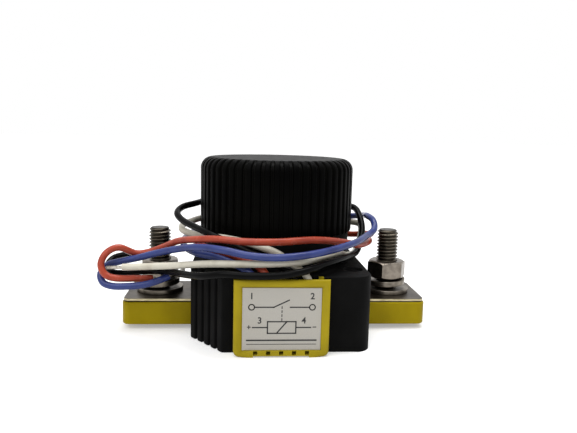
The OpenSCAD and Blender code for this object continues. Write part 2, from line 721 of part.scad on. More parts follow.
module bridge_clip() color([0.70, 0.70, 0.72]) {
    translate([0, 0, clip_z0]) difference() {
        cylinder(r = clip_r, h = clip_t);
        translate([0, 0, -eps]) cylinder(r = shaft_r + 0.02, h = clip_t + 2 * eps);
    }
}

module stop_pad() color([0.12, 0.12, 0.12]) {
    translate([0, 0, plunger_z1]) cylinder(r = plunger_r - 0.6, h = stop_t);
}

module control_board() color([0.10, 0.34, 0.18]) {
    translate([-board_w / 2, board_y, cover_t]) cube([board_w, board_t, board_h]);
}

// Place on the back of the board, measured along it and up from the bottom cover
module on_board(at) translate([at.x, board_y + board_t, cover_t + at.y]) children();

module board_components() color([0.14, 0.14, 0.16]) {
    on_board(large_cap_at) rotate([-90, 0, 0]) cylinder(d = large_cap_d, h = large_cap_h);
    on_board(small_cap_at) rotate([-90, 0, 0]) cylinder(d = small_cap_d, h = small_cap_h);
    on_board(driver_at) cube(driver_size);
    on_board(timer_at) cube(timer_size);
}

module auxiliary_switch() color([0.20, 0.20, 0.22]) {
    translate([-switch_size.x / 2, header_w / 2 + switch_gap, cover_t]) cube(switch_size);
}

// Lead along its route, and the bare wire that goes on from its end
module lead(route) swept(smooth_line(route, 2), lead_d / 2, 8);
module lead_tip(route) {
    line = smooth_line(route, 2);
    end = line[len(line) - 1];
    along = unit(end - line[len(line) - 2]);
    swept([end, end + tip_l * along], tip_r, 12);
}

module red_lead() color([0.75, 0.10, 0.07]) lead(red_route);
module blue_lead() color([0.10, 0.16, 0.55]) lead(blue_route);
module white_lead() color([0.85, 0.84, 0.80]) lead(white_route);
module black_lead() color([0.04, 0.04, 0.04]) lead(black_route);
module red_tip() color([0.78, 0.76, 0.72]) lead_tip(red_route);
module blue_tip() color([0.78, 0.76, 0.72]) lead_tip(blue_route);
module white_tip() color([0.78, 0.76, 0.72]) lead_tip(white_route);
module black_tip() color([0.78, 0.76, 0.72]) lead_tip(black_route);

base_housing();
bottom_cover();
top_cap();
terminal_header();
left_terminal_plate();
right_terminal_plate();
left_stud();
right_stud();
left_flat_washer();
right_flat_washer();
left_lock_washer();
right_lock_washer();
left_nut();
right_nut();
label_cover();
label_plate();
lead_potting();
left_fixed_contact();
right_fixed_contact();
moving_bridge();
left_bridge_contact();
right_bridge_contact();
arc_chamber();
front_magnet();
rear_magnet();
yoke_plate();
yoke_cup();
coil_bobbin();
coil_winding();
guide_sleeve();
fixed_core();
plunger();
plunger_shaft();
return_spring();
contact_spring();
spring_seat();
bridge_clip();
stop_pad();
control_board();
board_components();
auxiliary_switch();
red_lead();
blue_lead();
white_lead();
black_lead();
red_tip();
blue_tip();
white_tip();
black_tip();
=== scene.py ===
"""Dresses the high voltage DC contactor: camera, studio, leads and a finish for every piece."""

import json
import math

import bmesh
import bpy
from mathutils import Matrix, Vector


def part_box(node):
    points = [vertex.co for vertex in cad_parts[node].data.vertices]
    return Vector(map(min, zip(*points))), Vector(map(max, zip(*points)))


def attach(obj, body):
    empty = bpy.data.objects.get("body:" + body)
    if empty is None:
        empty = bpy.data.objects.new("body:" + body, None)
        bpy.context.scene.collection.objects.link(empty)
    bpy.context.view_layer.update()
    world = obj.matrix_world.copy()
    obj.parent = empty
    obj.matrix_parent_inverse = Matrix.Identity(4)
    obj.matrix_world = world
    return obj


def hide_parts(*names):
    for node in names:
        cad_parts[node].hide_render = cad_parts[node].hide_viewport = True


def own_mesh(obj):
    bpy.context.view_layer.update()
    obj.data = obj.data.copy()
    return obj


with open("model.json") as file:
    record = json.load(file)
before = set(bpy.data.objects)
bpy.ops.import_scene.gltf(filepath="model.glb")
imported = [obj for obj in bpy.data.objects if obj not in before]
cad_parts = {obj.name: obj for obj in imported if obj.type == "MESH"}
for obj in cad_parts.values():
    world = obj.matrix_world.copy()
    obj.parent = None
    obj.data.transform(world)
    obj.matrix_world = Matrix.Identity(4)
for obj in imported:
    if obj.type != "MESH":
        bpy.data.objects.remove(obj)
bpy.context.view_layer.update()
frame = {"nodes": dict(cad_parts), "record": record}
scene = bpy.context.scene

# Sizes are in millimetres and angles in degrees, unless a name says otherwise
MM = 0.001

# Camera of the photograph, in its own pixels and millimetres
PHOTO_W = 577
FOCAL_PX = 609.6
SENSOR_MM = 36
EYE_AT = (-14.05, -226.3, 71.82)
EYE_TURN = -4.74
EYE_TILT = 8.12
EYE_ROLL = 1.38

# Studio: the grey that lights things, the floor, and two lamps
WORLD_FILL = 0.42
FLOOR_HALF_M = 4
FLOOR_TONE = 0.82
FLOOR_LIFT = 0.34
SKY_AT = (-250, -330, 600)
SKY_POWER = 1.7
SKY_SPREAD = 60
TOP_AT = (40, 60, 420)
TOP_AIM = (0, 0, 40)
TOP_POWER = 1.3
TOP_SIZE = (340, 200)

# How near a corner of a mesh lies to the place it is picked by
NEAR = 0.01
CLOSE = 0.1
BESIDE = 0.2

# Corners nearer than these are merged, and the slivers that a bevel leaves are dropped
SOLID_WELD = 0.002
TURNED_WELD = 0.001
THREAD_WELD = 0.004
CUT_WELD = 0.0001
SLIVER = 0.0005

# Faces that turn by less than FLAT count as one, and edges that turn by more than the others are sharp
FLAT = 0.5
SHARP = 32
SILL_SHARP = 60

# Where most of a noise lies, and the cosines at which the wear of an edge starts and is full
NOISE_SPAN = (0.3, 0.7)
EDGE_TURN = (0.995, 0.86)

# Cap
CAP_RIBS = 54
CAP_ROUND = 4
CAP_WALL = 2.4
CAP_LID = 2.4
LAP_WALL = 1.8
LAP_HEIGHT = 2.7
CAP_ARC_STEPS = 12
CAP_SIDE_RINGS = 6
CAP_TOP_MARGIN = 0.4
CAP_FOOT_LIP = 0.6
CAP_FOOT_EASE = 0.15
CAP_FOOT_RIM = 0.5
RIB_DEPTH = 0.8
RIB_RUN_OUT = 16
RIB_STEPS = 14
GROOVE_HALF = 0.2
GROOVE_EASE = 0.055

# Base
DECK_Z = 25.3
CUT_X = 11
CUT_Y = 15
HOLE_AT = (25, -26)
RECESS_D = 6.6
BASE_EASE = 0.5
HOLE_EASE = 0.12
DECK_BAND = 1.2
CUT_BAND = 1.1
NECK_CLEAR = 10

# Header: edges past these lie on the outside of the wings
WING_SIDE = 13.4
WING_END = 50
WING_EASE = 0.5

# Label cover
RIM_ROUND = 1.1
RIM_CORNER = 2.1
RIM_TOP_GAP = 1
WINDOW_SLOPE = 0.75
WINDOW_BAND = 0.3
WINDOW_FOOT = 1
SILL_FOOT = 3

# Label print: heights above the mounting face, and reaches either side of the middle.
# Weights are shares of a stroke, and each rule has its height and weight.
PRINT_PROUD = 0.02
STROKE = 0.42
RING_SIDES = 24
RING_WEIGHT = 0.8
CAPITAL_SHARE = 0.7
MARK_BOLD = 0.06
CONTACT_ROW = 16.4
TERMINAL_X = 9.6
TERMINAL_R = 0.9
CONTACT_REACH = (2.6, 8.6)
BLADE_TIP = (2.2, 18.7)
DASHES = 4
DASH_TOP = 16.6
DASH_STEP = 1.3
DASH_LENGTH = 0.6
DASH_WEIGHT = 0.7
COIL_ROW = 9.8
COIL_HALF_W = 4.5
COIL_HALF_H = 1.9
COIL_SLASH = 1.6
COIL_REACH = 9.2
SIGN_X = 10.4
SIGN_HEIGHT = 1.6
NUMBER_HEIGHT = 2.0
NUMBERS = {1: (-TERMINAL_X, 19.9), 2: (TERMINAL_X, 19.9), 3: (-7, 12), 4: (7, 12)}
RULES = ((5.6, 1.2), (4.3, 0.5))
RULE_HALF = 11

# Terminal hardware; the thread's form is a radius at each share of its pitch
STUD_X = 43
STUD_R = 4
THREAD_ROOT_R = 3.36
THREAD_PITCH = 1.25
THREAD_STEPS = 40
THREAD_FORM = [(THREAD_ROOT_R, 0), (THREAD_ROOT_R, 0.12), (STUD_R, 0.45), (STUD_R, 0.55),
               (THREAD_ROOT_R, 0.88), (THREAD_ROOT_R, 1)]
THREAD_RUN_IN = 3.25
THREAD_SUNK = 1
STUD_CHAMFER = 0.9
HEAD_AF = 12.6
HEAD_SEAT = 8.2
# The terminal plate's foot is painted dark as shade: the height of that band above the plate's bottom, and
# the blur at its top
FOOT_SHADE_HEIGHT = 0.42
FOOT_SHADE_BLUR = 0.05

# Springs: body that each rides on, radius to the middle of its wire, wire radius and turns
SPRINGS = {
    "return_spring": ("housing", 3.2, 0.5, 4),
    "contact_spring": ("plunger_assembly", 3.3, 0.45, 3),
}
SPRING_STEPS = 28
SPRING_SIDES = 12

# Leads: where they leave the label cover, the points that each passes, and its length
LEAD_D = 2.4
OUTLET_Y = -38.5
OUTLET_Z = 23.7
RED_ROUTE = [
    (-4.2, OUTLET_Y, OUTLET_Z), (-4.8, -38.4, 25.5), (-5.9, -37.5, 27.1), (-7.7, -35.7, 28.2),
    (-10.4, -33, 29.2), (-14.6, -29.6, 30.2), (-20, -24.5, 30.8), (-26.5, -15.5, 31), (-30, -4, 31),
    (-30, 8, 31), (-24.5, 19, 31), (-14, 27.2, 31), (-1, 31, 31), (13, 29.5, 31), (25, 23.5, 29.6),
    (32.2, 18.4, 29.8), (37.2, 13, 31), (38.4, 8.6, 31.6), (36.2, 4.4, 31.9), (35.2, -1, 31.8),
    (34, -7.4, 31.5), (28.6, -16, 31.9), (21.5, -22.5, 34), (11, -30, 36), (-1, -34.8, 36.1),
    (-12, -34.8, 36.1), (-20.5, -32, 36.3), (-28, -26.5, 35.2), (-34.5, -19, 33.2), (-40, -13, 30),
    (-45, -10.8, 27.8), (-50, -11, 27.2), (-55.4, -13.4, 29.7), (-59.2, -15.6, 28.3),
    (-60.9, -17.2, 24.7), (-59.4, -18.2, 21.3), (-55.8, -18.2, 19.9), (-49.6, -16.8, 19.5),
    (-43.8, -14.8, 19.1),
]
BLUE_ROUTE = [
    (-8.5, OUTLET_Y, OUTLET_Z), (-9.2, -38.4, 25.4), (-10.5, -37.6, 26.9), (-12.8, -35.8, 27.9),
    (-16.2, -32.9, 28.8), (-22, -28.4, 29.8), (-28, -22.5, 29.8), (-32.5, -14, 30.2), (-34, -3, 30.4),
    (-33, 8.5, 30.8), (-27.5, 19.5, 32), (-16, 28.8, 35), (-2, 32.6, 35.6), (12, 31.4, 36.6),
    (24.5, 24.2, 36.4), (31.8, 16.6, 37.6), (35.2, 9, 39), (35.2, 1.4, 39.8), (36, -4.8, 39),
    (35.6, -8.8, 36.4), (32.2, -13, 34.8), (25.5, -24, 34), (14.6, -34.4, 33.1), (5, -39.6, 32.5),
    (-3, -40.6, 32.2), (-11, -39.4, 32.6), (-19, -36, 33.6), (-27, -29.8, 33.2), (-35, -21.8, 30.9),
    (-42.5, -16.8, 28.4), (-49, -14.2, 26.2), (-56, -12.6, 24.4), (-59.8, -13.4, 23.2),
    (-61.4, -15.6, 20.8), (-60.2, -17.8, 18.3), (-56.8, -19, 17.3), (-52, -19.2, 17.3),
    (-46.6, -18.8, 17.7), (-42, -17.4, 18.7), (-38, -15.8, 20.2),
]
WHITE_ROUTE = [
    (8.8, OUTLET_Y, OUTLET_Z), (8, -38.4, 25.4), (6.7, -37.5, 26.9), (4.8, -35.8, 28.1),
    (2.2, -33.6, 29.6), (-1.4, -31.8, 31.8), (-6, -29.6, 33.2), (-12.6, -26.8, 34.6),
    (-18.6, -22.6, 35), (-24.2, -17, 34.6), (-29.4, -12.2, 34.4), (-33.8, -8, 35.2),
    (-34.4, -2.8, 36.2), (-32.2, 3, 36.6), (-29.2, 10, 36.8), (-22.5, 20.2, 37), (-12, 27.4, 37.2),
    (1, 29.8, 37.2), (13.5, 26.8, 36.8), (23, 20.5, 35.8), (30.2, 15, 35.6), (34, 10.2, 35.2),
    (33.7, 5.8, 32), (31.6, 1, 28.8), (29.6, -4.6, 27.1), (27, -9.6, 27), (24.2, -15, 27.9),
    (20.4, -21.6, 29.8), (14, -29.4, 30.1), (6, -37.4, 30.2), (-3, -38.9, 29.9), (-14, -38, 29.5),
    (-22.5, -32.8, 28.4), (-30, -27.2, 26.8), (-38, -22.4, 25.3), (-46, -19, 24.2),
    (-53.5, -17.4, 23.6),
]
BLACK_ROUTE = [
    (4.5, OUTLET_Y, OUTLET_Z), (3.8, -38.4, 25.4), (2.5, -37.5, 26.9), (0.5, -35.8, 27.9),
    (-2.6, -33.2, 28.9), (-6.4, -30.9, 30.4), (-11.2, -29.6, 31.8), (-17.5, -27.2, 34.4),
    (-24, -22.8, 36.6), (-29.2, -16.2, 37.8), (-33.8, -9.8, 39), (-36.2, -4.6, 40.8),
    (-34.8, 0.8, 42.4), (-30.5, 6, 43.2), (-26.5, 14.5, 43.3), (-17.5, 24.5, 43), (1.5, 30.8, 42.7),
    (19, 24, 41.6), (26.8, 17.2, 42), (31.6, 10.6, 41.8), (32.7, 4, 39), (32.7, -1.2, 35.2),
    (31, -6.2, 31), (28.8, -12, 28.8), (25.4, -19, 28.6), (20.6, -27, 29), (14, -35, 28.8),
    (6, -41, 27.8), (-2, -42, 26.8), (-11, -41.6, 26.6), (-18.5, -39.4, 26.5), (-25.5, -35, 24.9),
    (-31.5, -28, 23.7), (-37.5, -19.8, 22.7), (-45.5, -14.2, 21.6), (-55, -11.8, 20.1),
    (-59, -10.4, 20.5), (-60.6, -7.2, 22.2), (-59.2, -4, 23.9), (-55.8, -2.9, 24.8),
    (-52.6, -3.9, 25.2),
]
LEADS = {
    "red": (RED_ROUTE, 306),
    "blue": (BLUE_ROUTE, 319),
    "white": (WHITE_ROUTE, 279),
    "black": (BLACK_ROUTE, 310),
}
TIP_LENGTH = 6
STRANDS_ROUND = 6
STRAND_R = 0.2
STRAND_SIDES = 8
STRAND_STEPS = 14
STRAND_TWIST = 420


def paint(red, green, blue):
    """A colour as it looks, in 0 to 255, as the light values that shaders take."""
    values = [v / 255 for v in (red, green, blue)]
    return tuple(v / 12.92 if v <= 0.04045 else ((v + 0.055) / 1.055) ** 2.4 for v in values) + (1.0,)


# Camera and studio


def set_camera():
    """Stands the camera where the photograph was taken from."""
    data = bpy.data.cameras.new("photo_camera")
    data.sensor_width = SENSOR_MM
    data.lens = SENSOR_MM * FOCAL_PX / PHOTO_W
    data.clip_start = 0.01
    camera = bpy.data.objects.new("photo_camera", data)
    camera.matrix_world = (
        Matrix.Translation(Vector(EYE_AT) * MM)
        @ Matrix.Rotation(math.radians(EYE_TURN), 4, "Z")
        @ Matrix.Rotation(math.radians(90 - EYE_TILT), 4, "X")
        @ Matrix.Rotation(math.radians(EYE_ROLL), 4, "Z")
    )
    scene.collection.objects.link(camera)
    scene.camera = camera


def wire(tree, kind, inputs=None, **settings):
    """Adds a shader node; each input is a value or another node's output."""
    node = tree.nodes.new("ShaderNode" + kind)
    for name, value in settings.items():
        setattr(node, name, value)
    for key, value in (inputs or {}).items():
        if isinstance(value, bpy.types.NodeSocket):
            tree.links.new(value, node.inputs[key])
        else:
            node.inputs[key].default_value = value
    return node


def seen_direct(tree):
    """One for rays from the camera, a mirror or a glass, and zero for the rays that light things."""
    path = wire(tree, "LightPath")
    first = wire(tree, "Math", {0: path.outputs["Is Camera Ray"], 1: path.outputs["Is Glossy Ray"]},
                 operation="MAXIMUM")
    both = wire(tree, "Math", {0: first.outputs[0], 1: path.outputs["Is Transmission Ray"]},
                operation="MAXIMUM")
    return both.outputs[0]


def studio_world(fill):
    """White all round to look at, and a plain grey to light by."""
    world = bpy.data.worlds.new("studio_world")
    world.use_nodes = True
    tree = world.node_tree
    tree.nodes.clear()
    white = wire(tree, "Background", {"Color": (1, 1, 1, 1), "Strength": 1.0})
    grey = wire(tree, "Background", {"Color": (1, 1, 1, 1), "Strength": fill})
    mixed = wire(tree, "MixShader", {0: seen_direct(tree), 1: grey.outputs[0], 2: white.outputs[0]})
    wire(tree, "OutputWorld", {"Surface": mixed.outputs[0]})
    scene.world = world


def studio_lamp(name, kind, at, aim, energy, **settings):
    """A lamp at one point that shines towards another."""
    data = bpy.data.lights.new(name, kind)
    data.energy = energy
    for key, value in settings.items():
        setattr(data, key, value)
    lamp = bpy.data.objects.new(name, data)
    lamp.location = Vector(at) * MM
    lamp.rotation_euler = (Vector(aim) - Vector(at)).to_track_quat("-Z", "Y").to_euler()
    scene.collection.objects.link(lamp)


def studio_floor(half):
    """A pale floor that goes on past the view, lifted to white where the camera sees it lit."""
    bm = bmesh.new()
    bmesh.ops.create_grid(bm, x_segments=1, y_segments=1, size=half)
    mesh = bpy.data.meshes.new("studio_floor")
    bm.to_mesh(mesh)
    bm.free()
    floor = bpy.data.objects.new("studio_floor", mesh)
    scene.collection.objects.link(floor)
    material = bpy.data.materials.new("pale_floor")
    material.use_nodes = True
    tree = material.node_tree
    tree.nodes.clear()
    diffuse = wire(tree, "BsdfDiffuse", {"Color": (FLOOR_TONE, FLOOR_TONE, FLOOR_TONE, 1)})
    lift = wire(tree, "Math", {0: seen_direct(tree), 1: FLOOR_LIFT}, operation="MULTIPLY")
    glow = wire(tree, "Emission", {"Color": (1, 1, 1, 1), "Strength": lift.outputs[0]})
    both = wire(tree, "AddShader", {0: diffuse.outputs[0], 1: glow.outputs[0]})
    wire(tree, "OutputMaterial", {"Surface": both.outputs[0]})
    mesh.materials.append(material)


scene.view_settings.view_transform = "Standard"
set_camera()
studio_world(WORLD_FILL)
studio_floor(FLOOR_HALF_M)
studio_lamp("sky_lamp", "SUN", SKY_AT, (0, 0, 0), SKY_POWER, angle=math.radians(SKY_SPREAD))
studio_lamp("top_lamp", "AREA", TOP_AT, TOP_AIM, TOP_POWER, shape="RECTANGLE",
            size=TOP_SIZE[0] * MM, size_y=TOP_SIZE[1] * MM)


# Finishes


def new_finish(name):
    """An empty material, with the place on the object that its patterns read."""
    material = bpy.data.materials.new(name)
    material.use_nodes = True
    tree = material.node_tree
    tree.nodes.clear()
    return material, tree, wire(tree, "TexCoord").outputs["Object"]


def noise(tree, place, size_mm, detail=3):
    """Cloudy noise with patches of about this size."""
    scale = 1 / (size_mm * MM)
    return wire(tree, "TexNoise", {"Vector": place, "Scale": scale, "Detail": detail}).outputs[0]


def stretched(tree, place, x, y, z):
    """The place with each axis scaled, so that a pattern draws out into streaks."""
    return wire(tree, "Mapping", {"Vector": place, "Scale": (x, y, z)}).outputs[0]


def ramp(tree, value, low, high, low_at=0.35, high_at=0.65):
    """Runs from one colour to another as a value goes up."""
    node = wire(tree, "ValToRGB", {0: value})
    ends = node.color_ramp.elements
    ends[0].position = low_at
    ends[0].color = low
    ends[1].position = high_at
    ends[1].color = high
    return node.outputs[0]


def between(tree, value, low, high):
    """Spreads a noise over a range of numbers."""
    least, most = NOISE_SPAN
    inputs = {"Value": value, "From Min": least, "From Max": most, "To Min": low, "To Max": high}
    return wire(tree, "MapRange", inputs).outputs[0]


def mixed_colour(tree, share, first, second):
    """One colour over another, by a share from 0 to 1."""
    return wire(tree, "Mix", {0: share, 6: first, 7: second}, data_type="RGBA").outputs[2]


def edge_share(tree, reach_mm, strength):
    """Near a sharp edge this rises towards the strength, and on flats it is zero."""
    eased = wire(tree, "Bevel", {"Radius": reach_mm * MM}, samples=6).outputs[0]
    flat = wire(tree, "NewGeometry").outputs["Normal"]
    turn = wire(tree, "VectorMath", {0: eased, 1: flat}, operation="DOT_PRODUCT").outputs["Value"]
    start, full = EDGE_TURN
    inputs = {"Value": turn, "From Min": start, "From Max": full, "To Min": 0.0, "To Max": strength}
    return wire(tree, "MapRange", inputs).outputs[0]


def relief(tree, height, depth_mm, strength=1.0, under=None):
    """Fine bumps of about this depth."""
    inputs = {"Height": height, "Strength": strength, "Distance": depth_mm * MM}
    if under is not None:
        inputs["Normal"] = under
    return wire(tree, "Bump", inputs).outputs[0]


def close_finish(tree, inputs):
    """Ends the material in one shader."""
    shader = wire(tree, "BsdfPrincipled", inputs)
    wire(tree, "OutputMaterial", {"Surface": shader.outputs[0]})


def moulded_plastic(name, colour, pale, worn, rough, specular, grain_mm, wear):
    """Moulded plastic: cloudy tone, spark-eroded grain, and edges that are rubbed paler."""
    material, tree, place = new_finish(name)
    cloud = noise(tree, place, size_mm=11)
    smear = noise(tree, stretched(tree, place, 1, 1, 0.25), size_mm=3)
    grain = noise(tree, place, grain_mm, detail=2)
    tone = ramp(tree, cloud, colour, pale)
    rubbed = mixed_colour(tree, edge_share(tree, reach_mm=0.45, strength=wear), tone, worn)
    close_finish(tree, {
        "Base Color": rubbed,
        "Roughness": between(tree, smear, rough - 0.05, rough + 0.07),
        "Specular IOR Level": specular,
        "Normal": relief(tree, grain, depth_mm=0.03, strength=0.5),
    })
    return material


def insulation(name, colour, shade, specular, rough):
    """Extruded lead insulation: soft gloss, slight waviness and a little handling dirt."""
    material, tree, place = new_finish(name)
    dirt = noise(tree, place, size_mm=6, detail=4)
    wave = noise(tree, place, size_mm=2.4, detail=2)
    close_finish(tree, {
        "Base Color": ramp(tree, dirt, shade, colour, low_at=0.3, high_at=0.55),
        "Roughness": between(tree, wave, rough - 0.05, rough + 0.06),
        "Specular IOR Level": specular,
        "Normal": relief(tree, wave, depth_mm=0.04, strength=0.3),
    })
    return material


def stud_place(tree, place):
    """The place measured from the middle of whichever stud is nearer."""
    parts = wire(tree, "SeparateXYZ", {0: place})
    outward = wire(tree, "Math", {0: parts.outputs[0]}, operation="ABSOLUTE").outputs[0]
    across = wire(tree, "Math", {0: outward, 1: STUD_X * MM}, operation="SUBTRACT").outputs[0]
    return wire(tree, "CombineXYZ", {0: across, 1: parts.outputs[1], 2: parts.outputs[2]}).outputs[0]


def machined_steel(name, colour, dull, low_rough, high_rough, turned):
    """Dull stainless steel: mottled tone, fine lines round the stud and bright edges."""
    material, tree, place = new_finish(name)
    about = stud_place(tree, place)
    mottle = noise(tree, place, size_mm=2.2, detail=5)
    fine = noise(tree, stretched(tree, place, 1, 1, 6), size_mm=0.5, detail=4)
    rings = wire(tree, "TexWave", {"Vector": about, "Scale": 260.0, "Distortion": 2.5, "Detail": 3.0},
                 wave_type="RINGS", rings_direction="Z").outputs[1]
    tone = ramp(tree, mottle, dull, colour, low_at=0.3, high_at=0.62)
    worn = edge_share(tree, reach_mm=0.25, strength=0.5)
    bright = mixed_colour(tree, worn, tone, paint(214, 210, 202))
    lines = relief(tree, rings, depth_mm=0.012, strength=turned)
    close_finish(tree, {
        "Base Color": bright,
        "Metallic": 1.0,
        "Roughness": between(tree, fine, low_rough, high_rough),
        "Normal": relief(tree, fine, depth_mm=0.01, strength=0.35, under=lines),
    })
    return material


def thread_steel():
    """Threaded stud: bright crests, and roots painted darker as shade."""
    material, tree, place = new_finish("thread_steel")
    about = stud_place(tree, place)
    flat = wire(tree, "VectorMath", {0: about, 1: (1, 1, 0)}, operation="MULTIPLY").outputs[0]
    radius = wire(tree, "VectorMath", {0: flat}, operation="LENGTH").outputs["Value"]
    height = wire(tree, "MapRange", {"Value": radius, "From Min": THREAD_ROOT_R * MM,
                                     "From Max": STUD_R * MM}).outputs[0]
    mottle = noise(tree, place, size_mm=1.4, detail=4)
    crest = ramp(tree, mottle, paint(96, 90, 80), paint(126, 118, 106))
    # Painted shade: the colour darkens from the crest down into the root of the thread
    tone = mixed_colour(tree, height, paint(50, 46, 40), crest)
    close_finish(tree, {
        "Base Color": tone,
        "Metallic": 1.0,
        "Roughness": between(tree, mottle, 0.3, 0.46),
        "Normal": relief(tree, mottle, depth_mm=0.02, strength=0.3),
    })
    return material


def plated_terminal():
    """Tin-plated terminal plate: brown-grey stains on top, a bright sheared edge, and painted shade along
    its foot.
    """
    material, tree, place = new_finish("plated_terminal")
    stain = noise(tree, place, size_mm=7, detail=5)
    rolled = noise(tree, stretched(tree, place, 0.12, 1, 1), size_mm=0.35, detail=3)
    tone = ramp(tree, stain, paint(52, 45, 38), paint(92, 84, 73), low_at=0.32, high_at=0.68)
    facing = wire(tree, "SeparateXYZ", {0: wire(tree, "NewGeometry").outputs["Normal"]}).outputs[2]
    side = wire(tree, "MapRange", {"Value": facing, "From Min": 0.75, "From Max": 0.45}).outputs[0]
    edge = ramp(tree, rolled, paint(138, 128, 98), paint(190, 180, 148))
    sheared = mixed_colour(tree, side, tone, edge)
    # Painted shade: below a set height the plate turns dark, standing in for the shadow where it sits on the
    # header
    height = wire(tree, "SeparateXYZ", {0: place}).outputs[2]
    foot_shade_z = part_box("left_terminal_plate")[0].z + FOOT_SHADE_HEIGHT * MM
    span = {"Value": height, "From Min": foot_shade_z - FOOT_SHADE_BLUR * MM, "From Max": foot_shade_z}
    clear = wire(tree, "MapRange", span).outputs[0]
    foot_shaded = mixed_colour(tree, clear, paint(26, 22, 12), sheared)
    close_finish(tree, {
        "Base Color": foot_shaded,
        "Metallic": 1.0,
        "Roughness": between(tree, rolled, 0.3, 0.46),
        "Normal": relief(tree, rolled, depth_mm=0.012, strength=0.4),
    })
    return material


def label_foil():
    """Grey printed foil with a fine speckle."""
    material, tree, place = new_finish("label_foil")
    speckle = noise(tree, place, size_mm=0.16, detail=2)
    cloud = noise(tree, place, size_mm=8, detail=2)
    tone = ramp(tree, speckle, paint(164, 161, 154), paint(192, 188, 180), low_at=0.3, high_at=0.7)
    aged = mixed_colour(tree, between(tree, cloud, 0.0, 0.3), tone, paint(172, 166, 152))
    close_finish(tree, {
        "Base Color": aged,
        "Roughness": between(tree, speckle, 0.42, 0.55),
        "Specular IOR Level": 0.35,
        "Normal": relief(tree, speckle, depth_mm=0.008, strength=0.4),
    })
    return material


def plain_finish(name, colour, shade, rough, metallic, size_mm, depth_mm):
    """A finish for small pieces and those inside: two tones of one material with a fine surface."""
    material, tree, place = new_finish(name)
    cloud = noise(tree, place, size_mm, detail=4)
    fine = noise(tree, place, size_mm / 6, detail=3)
    close_finish(tree, {
        "Base Color": ramp(tree, cloud, shade, colour),
        "Metallic": metallic,
        "Roughness": between(tree, fine, rough - 0.06, rough + 0.08),
        "Normal": relief(tree, fine, depth_mm, strength=0.4),
    })
    return material


def wound_copper():
    """Layers of enamelled wire, one thin round band for each turn."""
    material, tree, place = new_finish("wound_copper")
    turns = wire(tree, "TexWave", {"Vector": place, "Scale": 560.0, "Distortion": 0.4},
                 wave_type="BANDS", bands_direction="Z").outputs[1]
    close_finish(tree, {
        "Base Color": ramp(tree, turns, paint(110, 52, 24), paint(196, 112, 62)),
        "Metallic": 0.7,
        "Roughness": 0.34,
        "Normal": relief(tree, turns, depth_mm=0.15),
    })
    return material


black_moulding = moulded_plastic("black_moulding", paint(9, 9, 9), paint(15, 15, 15), paint(46, 45, 43),
                                 rough=0.58, specular=0.04, grain_mm=0.3, wear=0.35)
cap_black = moulded_plastic("cap_black", paint(2, 2, 2), paint(5, 5, 4), paint(38, 36, 32),
                            rough=0.4, specular=0.02, grain_mm=0.34, wear=0.4)
yellow_moulding = moulded_plastic("yellow_moulding", paint(156, 138, 20), paint(170, 151, 24),
                                  paint(192, 175, 56), rough=0.4, specular=0.12, grain_mm=0.3, wear=0.4)
# Painted shade: the header gets a darker copy of the label cover's yellow plastic, as if it lay in shade
shaded_header_yellow = moulded_plastic("shaded_header_yellow", paint(142, 123, 2), paint(158, 138, 5),
                                paint(188, 168, 40), rough=0.42, specular=0.08, grain_mm=0.3, wear=0.5)
nut_steel = machined_steel("nut_steel", paint(132, 124, 114), paint(100, 93, 85),
                           low_rough=0.26, high_rough=0.4, turned=0.1)
washer_steel = machined_steel("washer_steel", paint(128, 121, 110), paint(88, 82, 74),
                              low_rough=0.28, high_rough=0.44, turned=0.5)
stud_steel = thread_steel()
terminal_tin = plated_terminal()
foil = label_foil()

# Insulation of each lead: colour, shade, gloss and roughness
INSULATION = {
    lead: insulation(lead + "_insulation", paint(*colour), paint(*shade), specular, rough)
    for lead, colour, shade, specular, rough in (
        ("red", (168, 68, 46), (144, 52, 36), 0.24, 0.24),
        ("blue", (50, 63, 122), (38, 48, 102), 0.26, 0.22),
        ("white", (208, 203, 188), (186, 179, 162), 0.26, 0.26),
        ("black", (5, 5, 5), (3, 3, 3), 0.06, 0.2),
    )
}

# Plain finishes: colour, shade, roughness, share of metal, size of clouds and depth of bumps
PLAIN = {
    name: plain_finish(name, paint(*colour), paint(*shade), rough, metallic, size_mm, depth_mm)
    for name, colour, shade, rough, metallic, size_mm, depth_mm in (
        ("label_ink", (30, 29, 30), (20, 20, 21), 0.5, 0.0, 0.6, 0.004),
        ("wire_tin", (196, 192, 184), (150, 144, 132), 0.34, 1.0, 0.8, 0.006),
        ("cast_potting", (14, 14, 14), (8, 8, 8), 0.28, 0.0, 3, 0.08),
        ("bridge_copper", (200, 118, 76), (156, 84, 52), 0.34, 1.0, 4, 0.01),
        ("contact_alloy", (206, 206, 208), (168, 168, 172), 0.3, 1.0, 2, 0.01),
        ("chamber_ceramic", (232, 228, 216), (218, 212, 198), 0.62, 0.0, 5, 0.02),
        ("sintered_magnet", (58, 58, 62), (40, 40, 44), 0.5, 1.0, 1.2, 0.03),
        ("plated_iron", (176, 178, 182), (142, 144, 148), 0.34, 1.0, 6, 0.01),
        ("bobbin_plastic", (34, 34, 36), (24, 24, 26), 0.5, 0.0, 5, 0.02),
        ("drawn_brass", (206, 170, 96), (172, 136, 68), 0.3, 1.0, 5, 0.01),
        ("stop_rubber", (24, 24, 24), (16, 16, 16), 0.7, 0.0, 1, 0.03),
        ("solder_mask", (26, 84, 44), (18, 62, 32), 0.36, 0.0, 4, 0.02),
        ("component_plastic", (36, 36, 40), (26, 26, 28), 0.45, 0.0, 2, 0.02),
        ("spring_wire", (178, 180, 184), (138, 140, 146), 0.28, 1.0, 1.5, 0.008),
    )
}


# Making pieces


